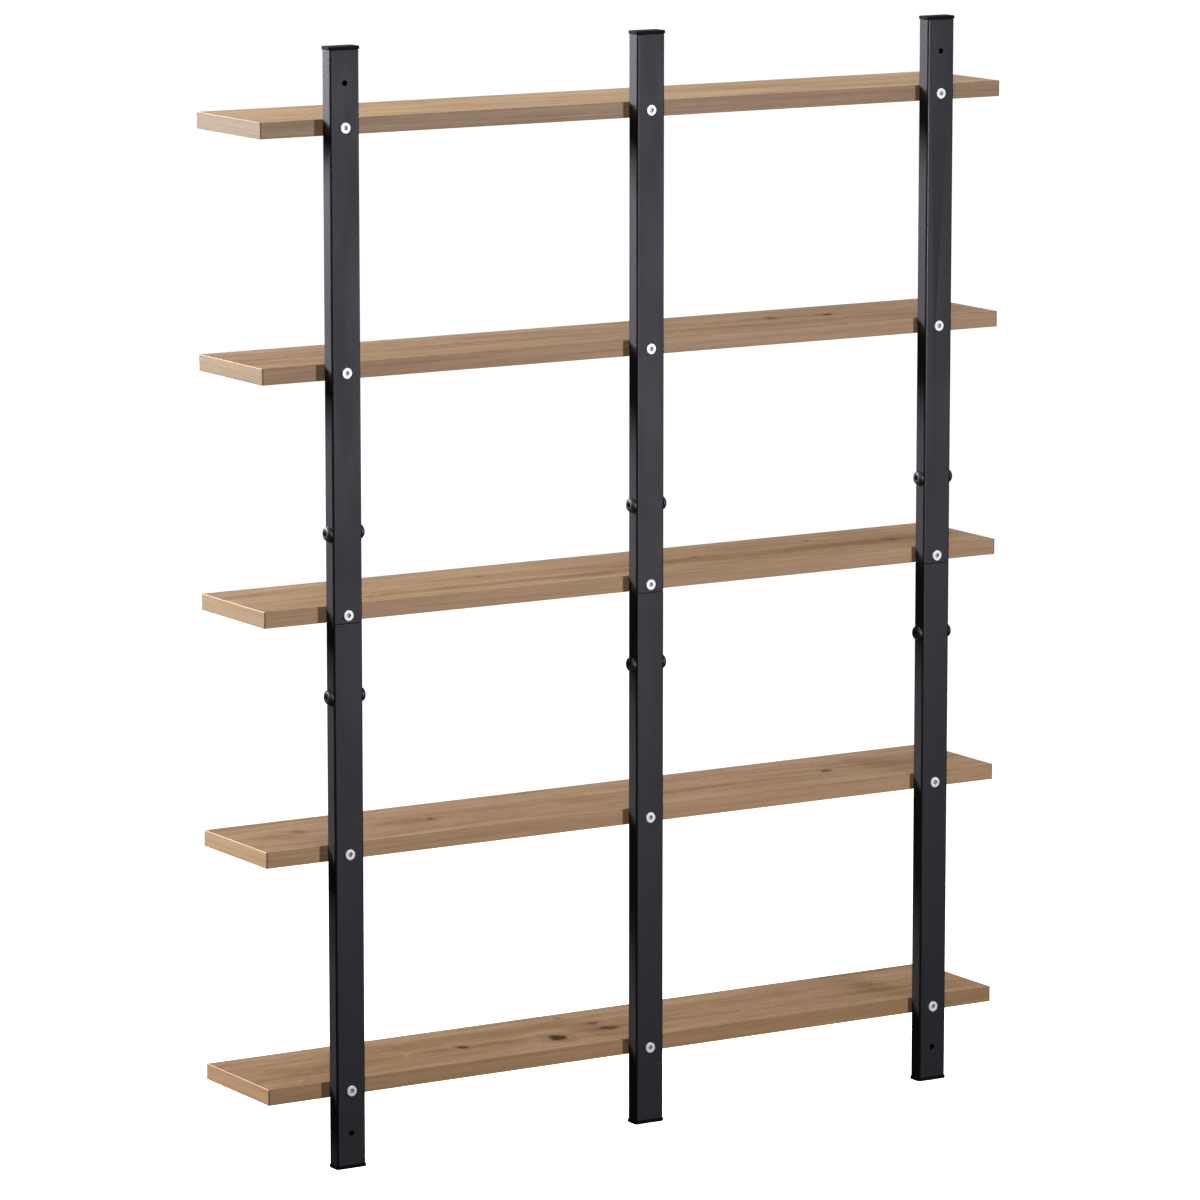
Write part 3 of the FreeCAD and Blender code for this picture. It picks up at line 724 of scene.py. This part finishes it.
def make_cap(cad_node, outward):
    """A cap with a softly rounded flange, and a hollow plug with fins inside the tube."""
    low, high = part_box(cad_node)
    half_x, half_y = (high.x - low.x) / 2, (high.y - low.y) / 2
    end = high.z - FLANGE if outward > 0 else low.z + FLANGE
    rings = []

    def ring(x, y, radius, height):
        """Add a ring; heights count outwards from the end of the tube."""
        rings.append(rounded_ring(x, y, radius, height))

    ring(half_x - CROWN_INSET, half_y - CROWN_INSET, FLANGE_RADIUS - CROWN_INSET, FLANGE)
    for inset, along in quarter_round(FLANGE_TOP_ROUND, FLANGE_TOP_STEPS):
        ring(half_x - inset, half_y - inset, FLANGE_RADIUS - inset, FLANGE - along)
    for inset, along in reversed(quarter_round(FLANGE_LOWER_ROUND)):
        ring(half_x - inset, half_y - inset, FLANGE_RADIUS - inset, along)
    plug_x, plug_y = PLUG_HALF
    ring(plug_x, plug_y, PLUG_RADIUS, 0)
    for number in reversed(range(FINS)):
        foot = -PLUG_DEPTH + number * FIN_PITCH
        top = foot + FIN_THICKNESS
        ring(plug_x, plug_y, PLUG_RADIUS, top)
        ring(plug_x + FIN_REACH, plug_y + FIN_REACH, PLUG_RADIUS, top - FIN_SLOPE)
        ring(plug_x + FIN_REACH, plug_y + FIN_REACH, PLUG_RADIUS, foot + FIN_SLOPE)
        ring(plug_x, plug_y, PLUG_RADIUS, foot)
    hollow_x, hollow_y = plug_x - PLUG_WALL, plug_y - PLUG_WALL
    ring(hollow_x, hollow_y, PLUG_RADIUS / 2, -PLUG_DEPTH)
    ring(hollow_x, hollow_y, PLUG_RADIUS / 2, 0)
    centre = Vector(((low.x + high.x) / 2, (low.y + high.y) / 2, end))
    mesh = bmesh.new()
    add_loft(mesh, [[centre + Vector((p.x, p.y, outward * p.z)) for p in points] for points in rings])
    add_piece(new_object(f"plug_{cad_node}", mesh), plastic_material, cad_node)


for post in POSTS:
    make_cap(f"top_cap_{post}", 1)
    make_cap(f"bottom_cap_{post}", -1)


# Fasteners

SOCKET = 4.0 * MM
SOCKET_DEPTH = 2.0 * MM
SOCKET_EASE = 0.25 * MM
SOCKET_FLOOR_RADIUS = 0.6 * MM
SHANK_RADIUS = 3.0 * MM
THREAD_PITCH = 1.0 * MM
THREAD_DEPTH = 0.45 * MM
POINT = 0.5 * MM
RINGS_PER_TURN = 6
HEAD_STEPS = 9
HEAD_EASE = 0.15 * MM
SCREW_HEAD_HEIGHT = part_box("shelf_screws_left")[1].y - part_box("upper_post_left")[1].y
SCREW_HEAD_RADIUS = 5.0 * MM
SCREW_CROWN_RADIUS = 4.4 * MM
SCREW_RIM = 0.9 * MM
SCREW_NECK = 2.0 * MM
SCREW_LENGTH = 30 * MM
JOINT_HEAD_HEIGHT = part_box("joint_bolts_left")[1].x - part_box("upper_post_left")[1].x
JOINT_HEAD_RADIUS = 7.0 * MM
JOINT_CROWN_RADIUS = 3.7 * MM
JOINT_RIM = 0.7 * MM
BOLT_LENGTH = 18 * MM
SLEEVE_RADIUS = 4.0 * MM
SLEEVE_LENGTH = 29 * MM
SLEEVE_EASE = 0.4 * MM
SLEEVE_BORE_RADIUS = 3.05 * MM
SLEEVE_BORE_DEPTH = 22 * MM
SLEEVE_BORE_TIP = 0.5 * MM
SLEEVE_BORE_CONE = 0.5 * SLEEVE_BORE_RADIUS


def socket_rings(top):
    """A hexagon socket from its floor up to the eased edge at the head's top."""
    return [
        round_ring(SOCKET_FLOOR_RADIUS, top - SOCKET_DEPTH),
        round_ring(hexagon(SOCKET), top - SOCKET_DEPTH),
        round_ring(hexagon(SOCKET), top - SOCKET_EASE),
        round_ring(hexagon(SOCKET + 2 * SOCKET_EASE), top),
    ]


def thread_rings(radius, start, end):
    """A screw thread that winds down the shank, with a short plain point."""
    rings = []
    count = round((start - end - 2 * THREAD_PITCH) / THREAD_PITCH * RINGS_PER_TURN)
    for step in range(count + 1):
        height = start - THREAD_PITCH - step * THREAD_PITCH / RINGS_PER_TURN

        def flank(angle, height=height):
            """The reach of the thread at an angle."""
            turn = (height / THREAD_PITCH - angle / (2 * math.pi)) % 1
            return radius - THREAD_DEPTH * abs(2 * turn - 1)

        rings.append(round_ring(flank, height))
    rings.append(round_ring(radius - THREAD_DEPTH, end + POINT))
    rings.append(round_ring(radius - 2 * THREAD_DEPTH, end))
    return rings


def head_rings(top, radius, crown, rim):
    """A round head: its socket, a crown that rolls over to the rim, and a flat underside at height 0."""
    rings = socket_rings(top)
    for step in range(HEAD_STEPS + 1):
        angle = math.pi / 2 * step / HEAD_STEPS
        reach = crown + (radius - crown) * math.sin(angle)
        rings.append(round_ring(reach, rim + (top - rim) * math.cos(angle)))
    rings.append(round_ring(radius, HEAD_EASE))
    rings.append(round_ring(radius - HEAD_EASE, 0))
    return rings


def shelf_screw_rings():
    """A low flat-head screw with its thread."""
    head = head_rings(SCREW_HEAD_HEIGHT, SCREW_HEAD_RADIUS, SCREW_CROWN_RADIUS, SCREW_RIM)
    neck = [round_ring(SHANK_RADIUS, 0), round_ring(SHANK_RADIUS, -SCREW_NECK)]
    return head + neck + thread_rings(SHANK_RADIUS, -SCREW_NECK, -SCREW_LENGTH)


def joint_head_rings():
    """The domed head of a joint fastener."""
    return head_rings(JOINT_HEAD_HEIGHT, JOINT_HEAD_RADIUS, JOINT_CROWN_RADIUS, JOINT_RIM)


def joint_bolt_rings():
    """A furniture bolt with its thread."""
    shank = thread_rings(SHANK_RADIUS, 0, -BOLT_LENGTH)
    return joint_head_rings() + [round_ring(SHANK_RADIUS, 0)] + shank


def sleeve_nut_rings():
    """A furniture sleeve nut: the same head on a barrel that is bored from its far end."""
    bore_end = SLEEVE_BORE_DEPTH - SLEEVE_LENGTH
    return joint_head_rings() + [
        round_ring(SLEEVE_RADIUS, 0),
        round_ring(SLEEVE_RADIUS, SLEEVE_EASE - SLEEVE_LENGTH),
        round_ring(SLEEVE_RADIUS - SLEEVE_EASE, -SLEEVE_LENGTH),
        round_ring(SLEEVE_BORE_RADIUS, -SLEEVE_LENGTH),
        round_ring(SLEEVE_BORE_RADIUS, bore_end),
        round_ring(SLEEVE_BORE_TIP, bore_end + SLEEVE_BORE_CONE),
    ]


def make_fasteners(name, rings, origins, outward, material, cad_node):
    """Copies of one fastener as one piece."""
    mesh = bmesh.new()
    for origin in origins:
        add_loft(mesh, placed(rings, origin, outward))
    add_piece(new_object(name, mesh), material, cad_node)


for post in POSTS:
    low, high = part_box(f"upper_post_{post}")
    centre = (low + high) / 2
    screws = [Vector((centre.x, high.y, height)) for height in screw_heights]
    make_fasteners(f"flat_screws_{post}", shelf_screw_rings(), screws, TO_WALL,
                   zinc_material, f"shelf_screws_{post}")
    right_side = [Vector((high.x, centre.y, height)) for height in (JOINT_Z, -JOINT_Z)]
    make_fasteners(f"furniture_bolts_{post}", joint_bolt_rings(), right_side, TO_RIGHT,
                   bolt_material, f"joint_bolts_{post}")
    left_side = [Vector((low.x, centre.y, height)) for height in (JOINT_Z, -JOINT_Z)]
    make_fasteners(f"furniture_sleeves_{post}", sleeve_nut_rings(), left_side, TO_LEFT,
                   bolt_material, f"sleeve_nuts_{post}")


# Materials of the CAD nodes that stay

def paint_node(cad_node, material):
    """Put a material on a CAD node."""
    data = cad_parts[cad_node].data
    data.materials.clear()
    data.materials.append(material)


for shelf in SHELVES:
    paint_node(f"shelf_{shelf}_board", board_materials[shelf])
    for edge in ("front", "back"):
        paint_node(f"shelf_{shelf}_{edge}_band", long_band_materials[shelf])
    for side in ("left", "right"):
        paint_node(f"shelf_{shelf}_{side}_band", short_band_materials[shelf])
    paint_node(f"shelf_{shelf}_inserts", insert_material)
for post in POSTS:
    paint_node(f"joint_connector_{post}", connector_material)


# Stage, light and camera

FLOOR_Z = -0.9
FLOOR_SIZE = 120.0
FLOOR_MOTTLE = (3.0, 3.0, 0.0)


def make_floor():
    """A plain white floor that fills the background."""
    mesh = bmesh.new()
    bmesh.ops.create_grid(mesh, x_segments=1, y_segments=1, size=FLOOR_SIZE / 2)
    for vertex in mesh.verts:
        vertex.co.z = FLOOR_Z
    floor = new_object("floor", mesh)
    material, tree = new_material("floor_white")
    x, y, z = coordinates(tree)
    mottle = noise(tree, scaled(tree, vector(tree, x, y, z), FLOOR_MOTTLE), 2.0)
    shade = ramp(tree, mottle, ((0.3, (0.90, 0.90, 0.90)), (0.7, (0.93, 0.93, 0.93))))
    finished(tree, Base_Color=shade, Roughness=0.9, Emission_Color=(1, 1, 1, 1), Emission_Strength=1.0)
    floor.data.materials.append(material)
    floor.visible_glossy = False
    floor.visible_diffuse = False


def make_light(name, place, target, width, height, power, spread=180):
    """A soft box that faces a target; a spread under 180 degrees narrows its beam."""
    data = bpy.data.lights.new(name, "AREA")
    data.shape = "RECTANGLE"
    data.size, data.size_y = width, height
    data.energy = power
    data.spread = math.radians(spread)
    lamp = bpy.data.objects.new(name, data)
    lamp.location = place
    lamp.rotation_euler = (Vector(target) - Vector(place)).to_track_quat("-Z", "Y").to_euler()
    bpy.context.scene.collection.objects.link(lamp)


# Strengths of the surroundings, and the directions between which they change: up for the sky and for
# the horizon's lower and upper edge, towards the wall for its room side.
SKY, GROUND, HORIZON = 0.04, 0.02, 0.12
SKY_RISE = (-0.25, 0.25)
HORIZON_LOWER = (0.0, 0.06)
HORIZON_UPPER = (0.42, 0.20)
ROOM_SIDE = (-0.3, -0.8)


def make_world():
    """Even studio light, dimmer from below, with a pale horizon on the room side."""
    world = bpy.data.worlds.new("studio")
    bpy.context.scene.world = world
    world.use_nodes = True
    tree = world.node_tree
    tree.nodes.clear()
    direction = node(tree, "ShaderNodeTexCoord").outputs["Generated"]
    _, towards_wall, height = node(tree, "ShaderNodeSeparateXYZ", {0: direction}).outputs
    strength = between(tree, height, *SKY_RISE, GROUND, SKY)
    lower, upper = between(tree, height, *HORIZON_LOWER), between(tree, height, *HORIZON_UPPER)
    band = maths(tree, "MULTIPLY", lower, upper)
    room_side = between(tree, towards_wall, *ROOM_SIDE, 0.0, HORIZON)
    strength = maths(tree, "MULTIPLY_ADD", band, room_side, strength)
    background = node(tree, "ShaderNodeBackground", {"Color": (1, 1, 1, 1), "Strength": strength})
    output = node(tree, "ShaderNodeOutputWorld")
    tree.links.new(background.outputs[0], output.inputs[0])


make_floor()
make_world()
# Each soft box: place, target, width and height in metres, and power in watts. The key shines in the
# posts' fronts; left, left_behind and behind shine in their sides; the rest fill in.
make_light("key", (-0.84, 1.93, 0.20), (0.05, 0, 0.02), 0.16, 0.30, 10, spread=110)
make_light("left", (2.29, -1.06, 0.95), (0, 0, 0), 1.0, 0.75, 52)
make_light("left_behind", (1.15, -1.20, 0.85), (0, 0, 0), 0.7, 0.45, 42)
make_light("behind", (0.80, -2.16, 1.4), (0, 0, 0), 1.2, 0.8, 22)
make_light("front_fill", (1.3, 2.2, 1.35), (0, 0, 0), 1.0, 1.0, 22)
make_light("top", (-0.3, 0, 2.3), (-0.1, 0, 0), 1.8, 1.6, 33)
make_light("right_behind", (-2.1, -1.2, 0.8), (0, 0, 0), 0.9, 0.7, 14)
make_light("top_behind", (0, -1.5, 2.0), (0, 0, 0), 2.0, 1.0, 12)

CAMERA_PLACE = Vector((3.1528, 5.0653, 1.0084))
CAMERA_YAW = math.radians(31.449)
CAMERA_PITCH = math.radians(9.729)
CAMERA_LENS = 195.14
CAMERA_SENSOR = 36
CAMERA_FAR = 500


def make_camera():
    """The photograph's viewpoint, from the wall side and a little above."""
    data = bpy.data.cameras.new("camera")
    data.lens = CAMERA_LENS
    data.sensor_width = CAMERA_SENSOR
    data.clip_end = CAMERA_FAR
    camera = bpy.data.objects.new("camera", data)
    camera.location = CAMERA_PLACE
    forward = Vector((
        -math.sin(CAMERA_YAW) * math.cos(CAMERA_PITCH),
        -math.cos(CAMERA_YAW) * math.cos(CAMERA_PITCH),
        -math.sin(CAMERA_PITCH)))
    camera.rotation_mode = "QUATERNION"
    camera.rotation_quaternion = forward.to_track_quat("-Z", "Y")
    bpy.context.scene.collection.objects.link(camera)
    bpy.context.scene.camera = camera


make_camera()
bpy.context.scene.view_settings.view_transform = "Standard"
